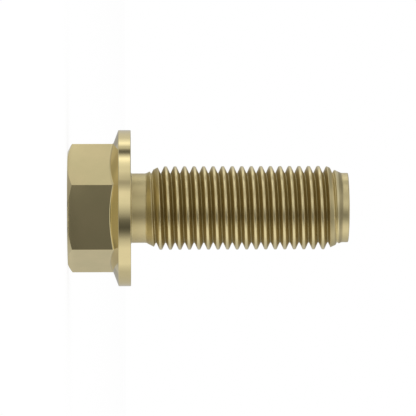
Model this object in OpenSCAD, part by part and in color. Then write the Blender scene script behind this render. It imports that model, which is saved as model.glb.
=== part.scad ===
// Hex flange screw with a fine right-hand thread, a plain neck under the head and a pilot point.
// One forged and rolled piece. It stands on its head: the bearing face lies at Z = 0,
// the head reaches down from it and the shank rises to the tip.

/* [Head] */
// Width of the hexagon across its flats
hex_flats = 15; // [13:0.5:17]
// Height of the head, from the bearing face to the flat crown
head_h = 8.4; // [7.5:0.1:10]
// Diameter of the chamfer's edge on the crown, as a share of the width across flats
crown_share = 1.005; // [1.005:0.005:1.06]
// Slope of the chamfer that takes the hexagon's corners down from the crown
crown_slope = 28.5; // [15:0.5:35]

/* [Flange] */
// Outer diameter of the flange
flange_d = 20.8; // [20:0.1:24]
// Thickness of the flange at its rim
rim_t = 1.65; // [1:0.05:2.2]
// Slope of the flange's conical back, from the plane of the bearing face
flange_slope = 20.7; // [15:0.1:25]
// Edge break on both corners of the rim
rim_break = 0.08; // [0.05:0.01:0.3]

/* [Shank] */
// Length from the bearing face to the middle of the tip
shank_l = 29.1; // [25:0.1:40]
// Diameter of the neck, the thread's root and the pilot point
core_d = 9.24; // [9.2:0.02:9.6]
// Length of the plain neck under the head
neck_l = 2; // [1:0.1:4]
// Radius of the fillet between the neck and the bearing face
neck_fillet = 0.2; // [0.1:0.05:0.6]
// Length of the pilot point beyond the thread, with its domed end
point_l = 1.1; // [0.8:0.1:2]
// Edge break on the tip
point_break = 0.12; // [0.05:0.01:0.4]
// Rise of the tip's shallow dome
tip_rise = 0.2; // [0.05:0.01:0.3]

/* [Thread] */
// Major diameter, 7/16 in
thread_d = 11.11; // [11:0.01:11.15]
// Pitch, 20 threads to the inch
pitch = 1.27; // [1.25:0.01:1.6]
// Width of the crest between its flanks, as a share of the pitch
crest_share = 0.26; // [0.24:0.01:0.34]
// Depth down the flank at which the crest's broken edges start
crest_break = 0.08; // [0.04:0.01:0.1]
// Half of the angle between the flanks
flank_angle = 24; // [20:0.5:28]
// Slope of the cone on which the thread runs out at the neck, from the axis
runout_slope = 27; // [20:1:45]
// Slope of the cone that chamfers the thread at the tip, from the axis
chamfer_slope = 25; // [20:1:45]
// Flat steps in each turn of the thread
turn_steps = 32; // [24:4:40]

/* [Hidden] */
$fn = 96;
thread_r = thread_d / 2;
core_r = core_d / 2;
flange_r = flange_d / 2;
hex_r = hex_flats / 2 / cos(30);
crown_r = hex_flats * crown_share / 2;
thread_end = shank_l - point_l;
// Slope of the crest's broken edges, from the plane across the axis
break_slope = 50;
// How far the tool that cuts the groove stands clear of the crests
clear = 0.05;
// Smallest half width of the groove's floor
least_floor = 0.012;
// Lift that takes the groove's floor clear of the neck and the point where it runs out
lift = 0.05;
// Turn of the groove's start from the hexagon's +X corner, in degrees
start_angle = -87;

// Hexagonal prism whose corners a cone takes off around the crown.
module hex_head() {
    intersection() {
        translate([0, 0, -head_h])
            cylinder(h = head_h - rim_t / 2, r = hex_r, $fn = 6);
        translate([0, 0, -head_h])
            cylinder(
                h = head_h,
                r1 = crown_r,
                r2 = crown_r + head_h / tan(crown_slope)
            );
    }
}

// Round flange: a rim with broken corners and a conical back that rises to the hexagon.
module flange() {
    back_r = hex_flats / 2 - 0.5;
    back_z = -rim_t - (flange_r - back_r) * tan(flange_slope);
    rotate_extrude()
        polygon([
            [0, 0],
            [flange_r - rim_break, 0],
            [flange_r, -rim_break],
            [flange_r, -rim_t + rim_break],
            [flange_r - rim_break, -rim_t - rim_break * tan(flange_slope)],
            [back_r, back_z],
            [0, back_z],
        ]);
}

// Shank before threading: neck, blank of the thread between its two end cones, pilot point.
module blank() {
    rise = thread_r - core_r;
    rotate_extrude()
        difference() {
            polygon([
                [0, -rim_t / 2],
                [core_r + neck_fillet, -rim_t / 2],
                [core_r + neck_fillet, 0],
                [core_r, neck_fillet],
                [core_r, neck_l],
                [thread_r, neck_l + rise / tan(runout_slope)],
                [thread_r, thread_end - rise / tan(chamfer_slope)],
                [core_r, thread_end],
                [core_r, shank_l - tip_rise - point_break],
                for (share = [1 : -0.25 : 0])
                    [(core_r - point_break) * share, shank_l - tip_rise * share * share],
            ]);
            translate([core_r + neck_fillet, neck_fillet])
                circle(r = neck_fillet);
        }
}

// Radius of the groove's floor at a height: even along the thread, lifted clear at its ends.
function floor_r(z) =
    core_r + lift * max(0, min(1, max((neck_l + 1 - z) / 0.6, (z - thread_end + 1) / 0.6)));

// Half width of the groove between its flanks at a radius.
function flank_half(r) =
    max(least_floor, pitch * (1 - crest_share) / 2 - (thread_r - r) * tan(flank_angle));

// Cross-section of the groove at a height, as pairs of radius and height.
function groove_section(z) =
    let(
        floor_half = flank_half(floor_r(z)),
        break_r = thread_r - crest_break,
        break_half = flank_half(break_r),
        top_r = thread_r + clear,
        top_half = break_half + (top_r - break_r) * tan(break_slope)
    )
    [
        [floor_r(z), z - floor_half],
        [break_r, z - break_half],
        [top_r, z - top_half],
        [top_r, z + top_half],
        [break_r, z + break_half],
        [floor_r(z), z + floor_half],
    ];

// The helical groove of the right-hand thread, from off the neck to off the pilot point.
module groove() {
    z_first = neck_l - 0.2;
    steps = ceil((thread_end + 0.2 - z_first) / pitch * turn_steps);
    corners = 6;
    points = [
        for (i = [0 : steps])
            let(turn = i / turn_steps)
            for (p = groove_section(z_first + turn * pitch))
                let(angle = 360 * turn + start_angle)
                [p[0] * cos(angle), p[0] * sin(angle), p[1]]
    ];
    sides = [
        for (i = [0 : steps - 1], c = [0 : corners - 1])
            let(
                a = i * corners + c,
                b = i * corners + (c + 1) % corners
            )
            each [[a, b, b + corners], [a, b + corners, a + corners]]
    ];
    first_cap = [for (c = [corners - 1 : -1 : 0]) c];
    last_cap = [for (c = [0 : corners - 1]) steps * corners + c];
    polyhedron(points = points, faces = concat([first_cap], sides, [last_cap]), convexity = 20);
}

module flange_screw() {
    color([0.78, 0.69, 0.45]) {
        hex_head();
        flange();
        difference() {
            blank();
            groove();
        }
    }
}

flange_screw();
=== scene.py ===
"""Hex flange screw, standing on its head: one plated steel piece on a pale floor."""
import math

import bpy
import numpy as np
from mathutils import Matrix, Vector


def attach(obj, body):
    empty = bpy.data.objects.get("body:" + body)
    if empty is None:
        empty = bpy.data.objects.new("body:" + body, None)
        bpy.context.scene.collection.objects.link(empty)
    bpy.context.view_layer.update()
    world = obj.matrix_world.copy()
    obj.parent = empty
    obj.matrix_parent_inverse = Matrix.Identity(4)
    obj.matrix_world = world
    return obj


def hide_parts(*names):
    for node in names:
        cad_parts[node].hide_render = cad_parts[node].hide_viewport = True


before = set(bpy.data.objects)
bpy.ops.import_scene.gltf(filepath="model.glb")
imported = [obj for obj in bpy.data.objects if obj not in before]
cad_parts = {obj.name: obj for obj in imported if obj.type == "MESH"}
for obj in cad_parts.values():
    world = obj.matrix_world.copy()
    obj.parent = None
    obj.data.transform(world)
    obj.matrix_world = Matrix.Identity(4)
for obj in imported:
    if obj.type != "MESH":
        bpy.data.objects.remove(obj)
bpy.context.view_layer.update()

MM = 0.001
TURN = 2 * math.pi

# Head, in millimetres
HEX_FLATS = 15.0
HEAD_H = 8.4
CROWN_R = 7.5375
CROWN_SLOPE = math.radians(28.5)
HEX_EDGE = 0.035
CROWN_EDGE = 0.04
CHAMFER_EDGE = 0.01
FLANGE_FILLET = 0.27
# Least distance of the crown's circle from the hexagon's side
CROWN_INSET = 0.05

# Flange, in millimetres
FLANGE_R = 10.394
RIM_T = 1.65
FLANGE_SLOPE = math.radians(20.7)
RIM_EDGE = 0.09

# Shank and thread, in millimetres
SHANK_L = 29.1
CORE_R = 4.62
NECK_L = 2.0
NECK_FILLET = 0.2
POINT_L = 1.1
POINT_EDGE = 0.12
TIP_RISE = 0.2
THREAD_R = 5.555
PITCH = 1.27
CREST_HALF = 0.165
FLANK_ANGLE = math.radians(24)
CREST_ROUND = 0.16
ROOT_ROUND = 0.06
RUNOUT_SLOPE = math.radians(27)
CHAMFER_SLOPE = math.radians(25)
THREAD_END = SHANK_L - POINT_L
# Rounding between the thread and the cones at its ends
END_ROUND = 0.06
# Rounding at the foot of both cones, and how far beyond them the thread's rows reach
FOOT_ROUND = 0.08
FOOT_REACH = 0.18
# The groove starts this far under the neck's end, and this many degrees before the +X corner
GROOVE_UNDER = 0.2
GROOVE_BEFORE = 87
# Height of the groove's middle at the hexagon's +X corner
GROOVE_Z = NECK_L - GROOVE_UNDER + PITCH * GROOVE_BEFORE / 360

# Even columns in each sixth of a turn
SIXTH_STEPS = 18
# Distance in millimetres from a rounded corner's arc to the next row. It is short, so that the
# arc's shading doesn't spread over the flat beside it
HOLD = 0.012
# That distance as a share of the flat: the most it may be, and what it is beside a sharp corner
MOST_HOLD = 0.1
SHARP_HOLD = 0.03

# Direction of the camera round the screw, from +X
VIEW_ANGLE = math.radians(260.8)


# The screw's surface

def corner_touch():
    """Angle from a hexagon's corner at which its rounding touches the face: 30 degrees less the
    angle between the face's middle and the point where they touch."""
    apothem = HEX_FLATS / 2
    return math.pi / 6 - math.atan((apothem - HEX_EDGE) * math.tan(math.pi / 6) / apothem)


def columns():
    """Angles round the axis: even steps, and close ones over the hexagon's rounded corners."""
    near = corner_touch() * np.array([-2.2, -1.0, -0.6, 0.0, 0.6, 1.0, 2.2])
    between = np.linspace(0, math.pi / 3, SIXTH_STEPS + 1)[1:-1]
    sixth = np.concatenate([near, between])
    angles = np.concatenate([sixth + k * math.pi / 3 for k in range(6)])
    angles = np.unique(np.round(np.mod(angles, TURN), 9))
    return np.concatenate([angles, [angles[0] + TURN]])


def hexagon_radius(angle):
    """Distance from the axis to the hexagon's side: apothem over the cosine of the angle from the
    face's middle, and near a corner the far side of a circle that touches both faces."""
    apothem = HEX_FLATS / 2
    off_corner = np.abs(np.mod(angle + math.pi / 6, math.pi / 3) - math.pi / 6)
    flat = apothem / np.cos(math.pi / 6 - off_corner)
    centre = (apothem - HEX_EDGE) / math.cos(math.pi / 6)
    aside = np.clip(centre * np.sin(off_corner), 0, HEX_EDGE)
    rounded = centre * np.cos(off_corner) + np.sqrt(HEX_EDGE**2 - aside**2)
    return np.where(off_corner < corner_touch(), rounded, flat)


def rounded_corner(before, corner, after, radius, steps):
    """Rows that round a corner of the profile, at every angle at once: the arc of the given radius
    that touches the line before and the line after the corner."""
    into = before - corner
    out = after - corner
    into = into / np.linalg.norm(into, axis=-1, keepdims=True)
    out = out / np.linalg.norm(out, axis=-1, keepdims=True)
    half = 0.5 * np.arccos(np.clip(np.sum(into * out, axis=-1, keepdims=True), -1, 1))
    middle = into + out
    middle = middle / np.linalg.norm(middle, axis=-1, keepdims=True)
    centre = corner + middle * radius / np.sin(half)
    start = corner + into * radius / np.tan(half) - centre
    end = corner + out * radius / np.tan(half) - centre
    sweep = math.pi - 2 * half
    rows = []
    for t in np.linspace(0, 1, steps):
        a = np.sin((1 - t) * sweep) / np.sin(sweep)
        b = np.sin(t * sweep) / np.sin(sweep)
        rows.append(centre + start * a + end * b)
    return rows


def stretch(corners):
    """Rows along a chain of corners, each given as its place, the radius of its rounding and the
    rows of its arc. Between arcs come a row close to each end and a few more along the way, so that
    flat stretches shade flat."""
    arcs = []
    for i, (corner, radius, steps) in enumerate(corners):
        if radius == 0:
            arcs.append([corner])
        else:
            arcs.append(rounded_corner(corners[i - 1][0], corner, corners[i + 1][0], radius, steps))
    rows = []
    for i, arc in enumerate(arcs):
        rows.extend(arc)
        if i + 1 < len(arcs):
            start, end = arc[-1], arcs[i + 1][0]
            length = np.linalg.norm(end - start, axis=-1, keepdims=True)
            close = np.minimum(HOLD / length, MOST_HOLD)
            first = close if corners[i][1] else SHARP_HOLD
            last = close if corners[i + 1][1] else SHARP_HOLD
            for t in (first, 0.2, 0.4, 0.6, 0.8, 1 - last):
                rows.append(start * (1 - t) + end * t)
    return rows


def pairs(r, z, angle):
    """The same or a changing radius and height, as one pair for each angle."""
    one = np.ones_like(angle)
    return np.stack([r * one, z * one], axis=-1)


def profile(angle):
    """Rows of (radius, height) from the crown's middle to the foot of the thread, one pair for each
    angle. Straight stretches join corners that are each rounded by their own radius. The chamfer
    starts at the crown's circle, or a little inside the hexagon's side where that is nearer."""
    side_r = hexagon_radius(angle)
    crown_r = np.minimum(CROWN_R, side_r - CROWN_INSET)
    chamfer_z = -HEAD_H + (side_r - crown_r) * math.tan(CROWN_SLOPE)
    foot_z = -RIM_T - (FLANGE_R - side_r) * math.tan(FLANGE_SLOPE)
    return stretch([
        (pairs(0, -HEAD_H, angle), 0, 0),
        (pairs(crown_r, -HEAD_H, angle), CROWN_EDGE, 4),
        (pairs(side_r, chamfer_z, angle), CHAMFER_EDGE, 4),
        (pairs(side_r, foot_z, angle), FLANGE_FILLET, 6),
        (pairs(FLANGE_R, -RIM_T, angle), RIM_EDGE, 5),
        (pairs(FLANGE_R, 0, angle), RIM_EDGE, 5),
        (pairs(CORE_R, 0, angle), NECK_FILLET, 6),
        (pairs(CORE_R, NECK_L - FOOT_REACH, angle), 0, 0),
    ])


def groove_rows():
    """Distances along the axis from the groove's middle over one pitch, closer together on the
    rounded edges of crest and root than on the flanks."""
    root = np.array([0.0, 0.018, 0.04])
    flank = np.array([0.10, 0.20, 0.30])
    crest = PITCH / 2 - np.array([0.28, 0.24, 0.205, 0.17, 0.13, 0.08, 0.0])
    half = np.concatenate([root, flank, crest])
    return np.concatenate([half, (PITCH - half[1:-1])[::-1]])


def soft_lowest(a, b, width):
    """The lower of two values, with the corner between them rounded by a parabola. It reaches as
    far as the values are less than the width apart, and takes off a quarter of it at the corner."""
    near = np.clip(width - np.abs(a - b), 0, None) / width
    return np.minimum(a, b) - near**2 * width / 4


def soft_highest(a, b, width):
    """The higher of two values, with the corner between them rounded in the same way."""
    return -soft_lowest(-a, -b, width)


def thread_radius(off):
    """Radius of the thread at a distance from the groove's middle: straight flanks between the
    crest's flat and the root, with the edges of both rounded. A flank falls by the distance from
    the crest's edge over the tangent of the flank's angle."""
    off = np.abs(np.mod(off + PITCH / 2, PITCH) - PITCH / 2)
    from_crest = PITCH / 2 - off
    flank = THREAD_R - (from_crest - CREST_HALF) / math.tan(FLANK_ANGLE)
    outer = soft_lowest(THREAD_R, flank, CREST_ROUND)
    return soft_highest(outer, CORE_R, ROOT_ROUND)


def thread_rows(angle):
    """Rows that climb one pitch in a turn, held between the neck and the pilot point. The radius is
    the lower of the thread's own and that of the cones at both ends, but never under the core's."""
    steps = groove_rows()
    first = math.floor((NECK_L - GROOVE_Z) / PITCH) - 1
    last = math.ceil((THREAD_END - GROOVE_Z) / PITCH) + 1
    rows = []
    for k in range(first, last):
        for step in steps:
            helix_z = GROOVE_Z + k * PITCH + step + PITCH * angle / TURN
            z = np.clip(helix_z, NECK_L - FOOT_REACH, THREAD_END + FOOT_REACH)
            own = thread_radius(z - GROOVE_Z - PITCH * angle / TURN)
            runout = CORE_R + (z - NECK_L) * math.tan(RUNOUT_SLOPE)
            chamfer = CORE_R + (THREAD_END - z) * math.tan(CHAMFER_SLOPE)
            r = soft_lowest(own, np.minimum(runout, chamfer), END_ROUND)
            r = soft_highest(r, CORE_R, FOOT_ROUND)
            rows.append(np.stack([r, z], axis=-1))
    return rows


def point_rows(angle):
    """Rows of the pilot point, from the last thread over the broken edge to the tip's middle. The
    end is a shallow dome: its drop grows with the square of the distance from the axis."""
    def dome(share):
        return pairs(CORE_R * share, SHANK_L - TIP_RISE * share**2, angle)

    side = stretch([
        (pairs(CORE_R, THREAD_END + FOOT_REACH, angle), 0, 0),
        (pairs(CORE_R, SHANK_L - TIP_RISE, angle), POINT_EDGE, 5),
        (dome(0.9), 0, 0),
    ])
    return side + [dome(share) for share in (0.75, 0.6, 0.45, 0.3, 0.15, 0.0)]


def closed_mesh(name, grid):
    """Mesh of a grid of points whose seam, poles and gathered rows meet: points that coincide
    become one, each cell becomes two triangles, and triangles without area are left out."""
    rows, cols = grid.shape[:2]
    points = grid.reshape(-1, 3)
    _, first, same = np.unique(
        np.round(points, 8), axis=0, return_index=True, return_inverse=True
    )
    same = same.reshape(rows, cols)
    a, b = same[:-1, :-1], same[:-1, 1:]
    c, d = same[1:, 1:], same[1:, :-1]
    tris = np.concatenate(
        [np.stack([a, b, c], -1).reshape(-1, 3), np.stack([a, c, d], -1).reshape(-1, 3)]
    )
    whole = (tris[:, 0] != tris[:, 1]) & (tris[:, 1] != tris[:, 2]) & (tris[:, 2] != tris[:, 0])
    mesh = bpy.data.meshes.new(name)
    mesh.from_pydata(points[first].tolist(), [], tris[whole].tolist())
    mesh.validate()
    mesh.shade_smooth()
    return mesh


def screw_mesh():
    """The whole screw as one closed surface: every row turned into points round the Z axis."""
    angle = columns()
    rows = np.array(profile(angle) + thread_rows(angle) + point_rows(angle))
    r, z = rows[..., 0] * MM, rows[..., 1] * MM
    grid = np.stack([r * np.cos(angle), r * np.sin(angle), z], axis=-1)
    return closed_mesh("flange_screw_body", grid)


# Nodes that the materials and the world share

def ranged(tree, value, span, low=0.0, high=1.0):
    """The value made to run from low to high over a span, and to stay there beyond its ends."""
    node = tree.nodes.new("ShaderNodeMapRange")
    node.inputs["From Min"].default_value, node.inputs["From Max"].default_value = span
    node.inputs["To Min"].default_value = low
    node.inputs["To Max"].default_value = high
    tree.links.new(value, node.inputs["Value"])
    return node.outputs["Result"]


def worked(tree, operation, *values):
    """Result of one step of arithmetic on sockets and plain numbers."""
    node = tree.nodes.new("ShaderNodeMath")
    node.operation = operation
    for socket, value in zip(node.inputs, values):
        if isinstance(value, float):
            socket.default_value = value
        else:
            tree.links.new(value, socket)
    return node.outputs["Value"]


def mixed(tree, share, plain, toned):
    """Colour between two others, each a socket or a fixed colour: plain at 0 and toned at 1."""
    node = tree.nodes.new("ShaderNodeMix")
    node.data_type = "RGBA"
    tree.links.new(share, node.inputs["Factor"])
    for socket, colour in ((node.inputs[6], plain), (node.inputs[7], toned)):
        if isinstance(colour, tuple):
            socket.default_value = colour
        else:
            tree.links.new(colour, socket)
    return node.outputs[2]


def looked_at(tree):
    """1 where the camera looks, straight or by way of metal or glass, and 0 for other light."""
    ray = tree.nodes.new("ShaderNodeLightPath")
    either = worked(tree, "MAXIMUM", ray.outputs["Is Camera Ray"], ray.outputs["Is Glossy Ray"])
    return worked(tree, "MAXIMUM", either, ray.outputs["Is Transmission Ray"])


# Finish, with painted shade and painted highlights

CHROMATE_DARK = (0.71, 0.61, 0.325, 1)
CHROMATE_LIGHT = (0.76, 0.64, 0.345, 1)
# The flank and groove floor tones are painted shade: darker colour where shade falls in the grooves
FLANK_SHADE_TONE = (0.60, 0.485, 0.23, 1)
GROOVE_FLOOR_SHADE_TONE = (0.465, 0.385, 0.185, 1)
# The crest tone is a painted highlight: lighter colour for the light that the crests catch
CREST_HIGHLIGHT_TONE = (0.81, 0.69, 0.38, 1)

# Distances from the axis at which a painted shade or painted highlight tone starts and is full
FLANK_R = (5.50 * MM, 5.30 * MM)
GROOVE_FLOOR_R = (4.95 * MM, 4.70 * MM)
CREST_R = (5.38 * MM, 5.5 * MM)
# Heights at which a part of the finish starts and is full
SHANK_FROM = (0.03 * MM, 0.15 * MM)
THREAD_FROM = (2.8 * MM, 3.3 * MM)
GROOVE_TO = (26.8 * MM, 26.1 * MM)
POINT_FROM = (27.9 * MM, 28.1 * MM)
# Painted highlight at the edge of the pilot point's foot and painted shade on the strip beyond
# it: middle, half width, tone
POINT_HIGHLIGHT_AND_SHADE_STRIPS = [
    (27.40 * MM, 0.20 * MM, (0.97, 0.86, 0.52, 1)),
    (27.81 * MM, 0.31 * MM, (0.54, 0.455, 0.25, 1)),
]
# Share of a strip's half width in which its tone is full
STRIP_CORE = 0.4

# Roughness of the forged head, and what the rolled shank, its crests and its point add to it
HEAD_ROUGHNESS = (0.06, 0.10)
SHANK_ROUGHER = 0.345
CREST_ROUGHER = -0.12
POINT_ROUGHER = -0.05


def plated_steel():
    """Satin yellow zinc on steel: a warm metal with cloudy chromate colour, with a fine grain in
    its gloss and relief. Painted shade darkens the grooves, a painted highlight lightens the
    crests, and a painted highlight and a painted shade strip lie at the pilot point's foot. The
    distance from the axis tells the grooves from the crests."""
    material = bpy.data.materials.new("yellow_zinc_plate")
    material.use_nodes = True
    tree = material.node_tree
    nodes, links = tree.nodes, tree.links
    shader = nodes["Principled BSDF"]
    shader.inputs["Metallic"].default_value = 1.0
    shader.distribution = "GGX"

    place = nodes.new("ShaderNodeTexCoord")
    split = nodes.new("ShaderNodeSeparateXYZ")
    links.new(place.outputs["Object"], split.inputs["Vector"])
    height = split.outputs["Z"]
    across = nodes.new("ShaderNodeCombineXYZ")
    links.new(split.outputs["X"], across.inputs["X"])
    links.new(split.outputs["Y"], across.inputs["Y"])
    length = nodes.new("ShaderNodeVectorMath")
    length.operation = "LENGTH"
    links.new(across.outputs["Vector"], length.inputs[0])
    from_axis = length.outputs["Value"]

    cloud = nodes.new("ShaderNodeTexNoise")
    cloud.inputs["Scale"].default_value = 260
    cloud.inputs["Detail"].default_value = 3
    links.new(place.outputs["Object"], cloud.inputs["Vector"])
    tint = nodes.new("ShaderNodeValToRGB")
    tint.color_ramp.elements[0].position = 0.35
    tint.color_ramp.elements[0].color = CHROMATE_DARK
    tint.color_ramp.elements[1].position = 0.65
    tint.color_ramp.elements[1].color = CHROMATE_LIGHT
    links.new(cloud.outputs["Fac"], tint.inputs["Fac"])

    above_neck = ranged(tree, height, THREAD_FROM)
    in_thread = worked(tree, "MULTIPLY", above_neck, ranged(tree, height, GROOVE_TO))
    in_groove = worked(tree, "MULTIPLY", ranged(tree, from_axis, FLANK_R), in_thread)
    on_crest = worked(tree, "MULTIPLY", ranged(tree, from_axis, CREST_R), above_neck)
    at_floor = ranged(tree, from_axis, GROOVE_FLOOR_R)
    # Painted highlight on the crests
    crest_highlight = mixed(tree, on_crest, tint.outputs["Color"], CREST_HIGHLIGHT_TONE)
    # Painted shade on the flanks and the groove floors
    tone = mixed(tree, in_groove, crest_highlight, mixed(tree, at_floor, FLANK_SHADE_TONE, GROOVE_FLOOR_SHADE_TONE))
    # Painted highlight line and painted shade strip at the pilot point's foot
    for middle, half, colour in POINT_HIGHLIGHT_AND_SHADE_STRIPS:
        away = worked(tree, "ABSOLUTE", worked(tree, "SUBTRACT", height, middle))
        tone = mixed(tree, ranged(tree, away, (half, half * STRIP_CORE)), tone, colour)
    links.new(tone, shader.inputs["Base Color"])

    grain = nodes.new("ShaderNodeTexNoise")
    grain.inputs["Scale"].default_value = 5200
    grain.inputs["Detail"].default_value = 2
    links.new(place.outputs["Object"], grain.inputs["Vector"])
    head = ranged(tree, grain.outputs["Fac"], (0, 1), *HEAD_ROUGHNESS)
    on_shank = ranged(tree, height, SHANK_FROM, 0, SHANK_ROUGHER)
    on_point = ranged(tree, height, POINT_FROM, 0, POINT_ROUGHER)
    shank = worked(tree, "ADD", head, on_shank)
    crests = worked(tree, "MULTIPLY_ADD", on_crest, CREST_ROUGHER, shank)
    links.new(worked(tree, "ADD", crests, on_point), shader.inputs["Roughness"])

    relief = nodes.new("ShaderNodeBump")
    relief.inputs["Strength"].default_value = 0.12
    relief.inputs["Distance"].default_value = 0.01 * MM
    links.new(grain.outputs["Fac"], relief.inputs["Height"])
    links.new(relief.outputs["Normal"], shader.inputs["Normal"])
    return material


screw = bpy.data.objects.new("flange_screw_body", screw_mesh())
bpy.context.scene.collection.objects.link(screw)
screw.data.materials.append(plated_steel())
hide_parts("flange_screw")
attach(screw, "root")


# Floor

FLOOR_Z = -HEAD_H * MM
FLOOR_HALF = 6
FLOOR_PAINT = (0.94, 0.94, 0.94, 1)
# Share of the floor's look that doesn't depend on the light, which keeps the shadow on it faint
FLOOR_GLOW = 0.84


def pale_floor():
    """Pale floor that the camera sees as white, less the screw's faint shadow."""
    material = bpy.data.materials.new("pale_floor")
    material.use_nodes = True
    tree = material.node_tree
    nodes, links = tree.nodes, tree.links
    nodes.clear()
    paint = nodes.new("ShaderNodeBsdfDiffuse")
    paint.inputs["Color"].default_value = FLOOR_PAINT
    glow = nodes.new("ShaderNodeEmission")
    glow.inputs["Strength"].default_value = 1.0
    bright = nodes.new("ShaderNodeMixShader")
    bright.inputs["Fac"].default_value = FLOOR_GLOW
    links.new(paint.outputs["BSDF"], bright.inputs[1])
    links.new(glow.outputs["Emission"], bright.inputs[2])
    choose = nodes.new("ShaderNodeMixShader")
    links.new(looked_at(tree), choose.inputs["Fac"])
    links.new(paint.outputs["BSDF"], choose.inputs[1])
    links.new(bright.outputs["Shader"], choose.inputs[2])
    out = nodes.new("ShaderNodeOutputMaterial")
    links.new(choose.outputs["Shader"], out.inputs["Surface"])
    return material


def lay_floor():
    """Square floor in the plane of the crown, centred under the screw."""
    ends = ((-1, -1), (1, -1), (1, 1), (-1, 1))
    corners = [(x * FLOOR_HALF, y * FLOOR_HALF, FLOOR_Z) for x, y in ends]
    mesh = bpy.data.meshes.new("floor")
    mesh.from_pydata(corners, [], [(0, 1, 2, 3)])
    mesh.materials.append(pale_floor())
    floor = bpy.data.objects.new("floor", mesh)
    bpy.context.scene.collection.objects.link(floor)


# Tent. Its levels are given by direction round the screw, in degrees: 0 is toward the camera, and
# minus 90 is toward the image's top

STRIPES = [
    (-180, 0.53), (-158, 0.61), (-141, 0.71), (-126, 0.8), (-117, 1.15), (-112, 1.45),
    (-107, 1.15), (-104, 0.76), (-99.5, 0.68), (-96, 0.28), (-92, 0.15), (-88.5, 0.28),
    (-85, 0.68), (-78, 1.5), (-70, 1.08), (-63, 0.92), (-56, 0.9), (-49, 0.72), (-43, 0.6),
    (-37, 0.44), (-31, 0.62), (-24, 0.92), (-18, 0.96), (-7, 0.92), (-1, 0.77), (5, 0.6),
    (11, 0.4), (17, 0.2), (23, 0.14), (29, 0.11), (35, 0.19), (41, 0.39), (47, 0.63), (54, 0.78),
    (61, 0.93), (76, 0.92), (90, 0.95), (99, 0.78), (108, 0.65), (150, 0.58), (180, 0.55),
]
# Levels above the stripes, which only the satin shank shows
SKY = [
    (-180, 0.36), (-120, 0.38), (-100, 0.28), (-84, 0.06), (-64, 0.06), (-46, 0.4), (-22, 0.4),
    (0, 0.28), (24, 0.23), (48, 0.44), (70, 0.95), (95, 0.95), (120, 0.58), (150, 0.38),
    (180, 0.36),
]
# Levels overhead, which the cones at both ends of the thread show
TOP = [
    (-180, 0.5), (-86, 0.64), (-54, 0.78), (-26, 0.68), (0, 0.3), (28, 0.14), (56, 0.27),
    (89, 0.42), (180, 0.5),
]
# Levels of the ground close to the head, which the hexagon's faces show next to the crown
NEAR = [
    (-180, 0.36), (-150, 0.46), (-128, 0.62), (-101, 0.74), (-78, 0.42), (-60, 0.24), (-46, 0.4),
    (-22, 0.42), (0, 0.24), (18, 0.14), (30, 0.16), (48, 0.46), (70, 0.95), (95, 0.95),
    (120, 0.74), (138, 0.66), (156, 0.5), (180, 0.36),
]
# Levels under the crown's chamfer, by the tent point's own angle from the camera
UNDER = [
    (-180, 0.6), (-60, 0.66), (-38, 0.46), (-20, 0.4), (-8, 0.38), (-3, 0.12), (20, 0.12),
    (26, 0.38), (40, 0.56), (180, 0.6),
]
# Plain grey where the flange's back looks
BACK_LEVEL = 0.55
# White arc that lights the fillet over the near face
ARC_LEVEL = 1.3
# Share of light that the shade above the brightest stripe takes
SHADE = 0.35

# Elevations in degrees between which the sky, the top and the shade take over
SKY_FROM = [8, 24]
TOP_FROM = [32, 46]
SHADE_FROM = [2, 5]
# Directions in degrees of the shade, and angles from the camera of the arc: start, full, full, end
SHADE_WIDTH = [-90, -80, -58, -48]
ARC_WIDTH = [-24, -4, 22, 42]
# Distances from the axis of the near ground, the grey, the arc and the levels under the chamfer
NEAR_R = [30 * MM, 80 * MM]
BACK_R = [11.2 * MM, 12.2 * MM, 15.5 * MM, 17 * MM]
ARC_R = [9.8 * MM, 10.1 * MM, 11.3 * MM, 11.8 * MM]
UNDER_R = [8.5 * MM, 9 * MM]

# Radius of the polished side for which the directions are worked out, and of the blur
SIDE_R = 8 * MM
BLUR_R = 4.5 * MM
BLUR_STEPS = 9
# Size of the tent, its top as an elevation in degrees, and its steps round, out and up
TENT_INNER = 7.4 * MM
TENT_WIDE = 2600 * MM
TENT_TOP = 66
TENT_AROUND = 720
SHEET_ROWS = 96
WALL_ROWS = 40
# Distances from the axis between which the ground sheet rises, and its heights over the floor
SHEET_R = [8 * MM, 9 * MM]
SHEET_LIFT = [0.001 * MM, 0.012 * MM]


def tent_cloth():
    """Glowing cloth whose level is stored with the tent's points."""
    material = bpy.data.materials.new("tent_cloth")
    material.use_nodes = True
    nodes, links = material.node_tree.nodes, material.node_tree.links
    nodes.clear()
    level = nodes.new("ShaderNodeAttribute")
    level.attribute_name = "level"
    glow = nodes.new("ShaderNodeEmission")
    links.new(level.outputs["Fac"], glow.inputs["Strength"])
    out = nodes.new("ShaderNodeOutputMaterial")
    links.new(glow.outputs["Emission"], out.inputs["Surface"])
    return material


def level_at(table, degrees):
    """Levels of a table at angles between its own, by straight lines."""
    return np.interp(degrees, *np.array(table).T)


def shown_direction(reach, from_camera):
    """Direction in which a polished round side shows a point of the tent: the point's own angle
    plus the arcsine of the side's radius times the sine of half the direction over the point's
    distance from the axis. The direction stands on both sides of that formula, so it is put in
    again a few times."""
    direction = from_camera + 0 * reach
    for _ in range(4):
        direction = from_camera + np.arcsin(
            np.minimum(SIDE_R / reach, 1) * np.sin(direction / 2)
        )
    return direction


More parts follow.
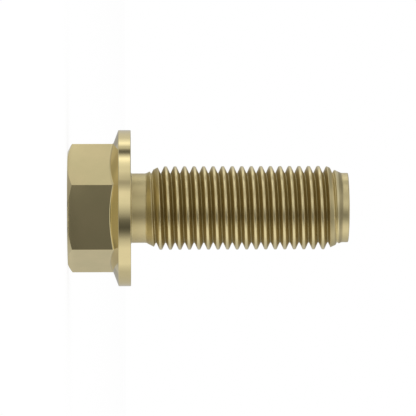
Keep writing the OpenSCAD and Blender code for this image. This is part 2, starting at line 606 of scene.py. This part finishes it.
def tent_levels(reach, height, from_camera):
    """Level of each point of the tent. The stripes follow the direction, and each is averaged over
    the arcsine of the blur's radius over the distance to both sides, so that close stripes blur.
    Higher up the sky's levels take over, overhead those of the top, and a shade takes a part of the
    light just above the brightest stripe. On the ground the near levels take over, with the plain
    grey, the white arc and, next to the crown, the levels under the chamfer."""
    direction = shown_direction(reach, from_camera)
    degrees = np.degrees(direction)
    own_degrees = np.degrees(from_camera)
    blur = np.arcsin(BLUR_R / reach) * np.linspace(-1, 1, BLUR_STEPS)[:, None, None]
    around = np.mod(np.degrees(direction + blur) + 180, 360) - 180
    stripes = level_at(STRIPES, around).mean(axis=0)

    elevation = np.degrees(np.arctan2(height, reach))
    high = np.interp(elevation, SKY_FROM, [0, 1])
    overhead = np.interp(elevation, TOP_FROM, [0, 1])
    sky = level_at(SKY, degrees) * (1 - overhead) + level_at(TOP, degrees) * overhead
    level = stripes * (1 - high) + sky * high
    shade = np.interp(elevation, SHADE_FROM, [0, 1]) * (1 - overhead)
    shade = shade * np.interp(degrees, SHADE_WIDTH, [0, 1, 1, 0])
    level = level * (1 - SHADE * shade)

    near = np.interp(reach, NEAR_R, [1, 0])
    grey = np.interp(reach, BACK_R, [0, 1, 1, 0])
    arc = np.interp(reach, ARC_R, [0, 1, 1, 0]) * np.interp(own_degrees, ARC_WIDTH, [0, 1, 1, 0])
    under = np.interp(reach, UNDER_R, [1, 0])
    for share, other in (
        (near, level_at(NEAR, degrees)),
        (grey, BACK_LEVEL),
        (arc, ARC_LEVEL),
        (under, level_at(UNDER, own_degrees)),
    ):
        level = level * (1 - share) + other * share
    return level


def light_tent():
    """Round tent that only the metal sees: a ground sheet whose rows lie further out by the same
    factor each time, and a wall whose rows are even steps of elevation."""
    sheet_r = np.geomspace(TENT_INNER, TENT_WIDE, SHEET_ROWS)
    sheet_z = FLOOR_Z + np.interp(sheet_r, SHEET_R, SHEET_LIFT)
    wall_z = sheet_z[-1] + TENT_WIDE * np.tan(np.radians(np.linspace(1, TENT_TOP, WALL_ROWS)))
    reach = np.concatenate([sheet_r, np.full(WALL_ROWS, TENT_WIDE)])[:, None]
    height = np.concatenate([sheet_z, wall_z])[:, None]
    from_camera = np.linspace(-math.pi, math.pi, TENT_AROUND + 1)

    angle = from_camera + VIEW_ANGLE
    grid = np.stack([reach * np.cos(angle), reach * np.sin(angle), height + 0 * angle], axis=-1)
    count = np.arange(grid.shape[0] * grid.shape[1]).reshape(grid.shape[:2])
    quads = np.stack([count[:-1, :-1], count[:-1, 1:], count[1:, 1:], count[1:, :-1]], axis=-1)
    mesh = bpy.data.meshes.new("light_tent")
    mesh.from_pydata(grid.reshape(-1, 3).tolist(), [], quads.reshape(-1, 4).tolist())
    store = mesh.attributes.new("level", "FLOAT", "POINT")
    store.data.foreach_set("value", tent_levels(reach, height, from_camera).ravel())
    mesh.materials.append(tent_cloth())
    tent = bpy.data.objects.new("light_tent", mesh)
    bpy.context.scene.collection.objects.link(tent)
    tent.visible_camera = False
    tent.visible_diffuse = False
    tent.visible_shadow = False


# Studio light

def soft_lamp(name, where, size, level):
    """Square soft box that faces the screw, its strength given as the level it adds on a sheet that
    faces it."""
    spot = Vector(where)
    light = bpy.data.lights.new(name, "AREA")
    light.size = size
    light.energy = level * math.pi**2 * spot.length**2
    lamp = bpy.data.objects.new(name, light)
    lamp.location = spot
    lamp.rotation_euler = (-spot).to_track_quat("-Z", "Y").to_euler()
    lamp.visible_camera = False
    lamp.visible_glossy = False
    bpy.context.scene.collection.objects.link(lamp)


def studio_world():
    """Even white surroundings: white to the camera and in the metal, a little less as light."""
    world = bpy.data.worlds.new("studio")
    world.use_nodes = True
    tree = world.node_tree
    white = tree.nodes["Background"]
    white.inputs["Color"].default_value = (1, 1, 1, 1)
    strength = ranged(tree, looked_at(tree), (0, 1), 0.98, 1.0)
    tree.links.new(strength, white.inputs["Strength"])
    return world


lay_floor()
light_tent()
soft_lamp("key_soft_box", (-0.9, -0.9, 1.3), 1.2, 0.12)
soft_lamp("fill_soft_box", (1.1, -0.6, 1.0), 1.2, 0.05)
bpy.context.scene.world = studio_world()


# Camera: it stands straight out from the flange, looks a little up the shank, and lies on its side

# Width and focal length of the picture, and how far up the shank its middle lies, in pixels
FRAME_PX = 416
FOCAL_PX = 4480
AIM_PX = 77.1
SENSOR_MM = 36
CAMERA_OUT = 596.6 * MM
SIDE_STEP = -0.01 * MM
AIM_UP = math.atan2(AIM_PX, FOCAL_PX)
ROLL = math.radians(0.16)

out = Vector((math.cos(VIEW_ANGLE), math.sin(VIEW_ANGLE), 0))
axis = Vector((0, 0, 1))
image_up = out.cross(axis)
back = (out * math.cos(AIM_UP) - axis * math.sin(AIM_UP)).normalized()
level_right = (axis * math.cos(AIM_UP) + out * math.sin(AIM_UP)).normalized()
right = (level_right * math.cos(ROLL) - image_up * math.sin(ROLL)).normalized()
up = back.cross(right)
lens = bpy.data.cameras.new("camera")
lens.sensor_fit = "HORIZONTAL"
lens.sensor_width = SENSOR_MM
lens.lens = SENSOR_MM * FOCAL_PX / FRAME_PX
lens.clip_start = 0.01
lens.clip_end = 50
camera = bpy.data.objects.new("camera", lens)
place = Matrix((right, up, back)).transposed().to_4x4()
place.translation = out * CAMERA_OUT + image_up * SIDE_STEP
camera.matrix_world = place
bpy.context.scene.collection.objects.link(camera)
bpy.context.scene.camera = camera
bpy.context.scene.view_settings.view_transform = "Standard"
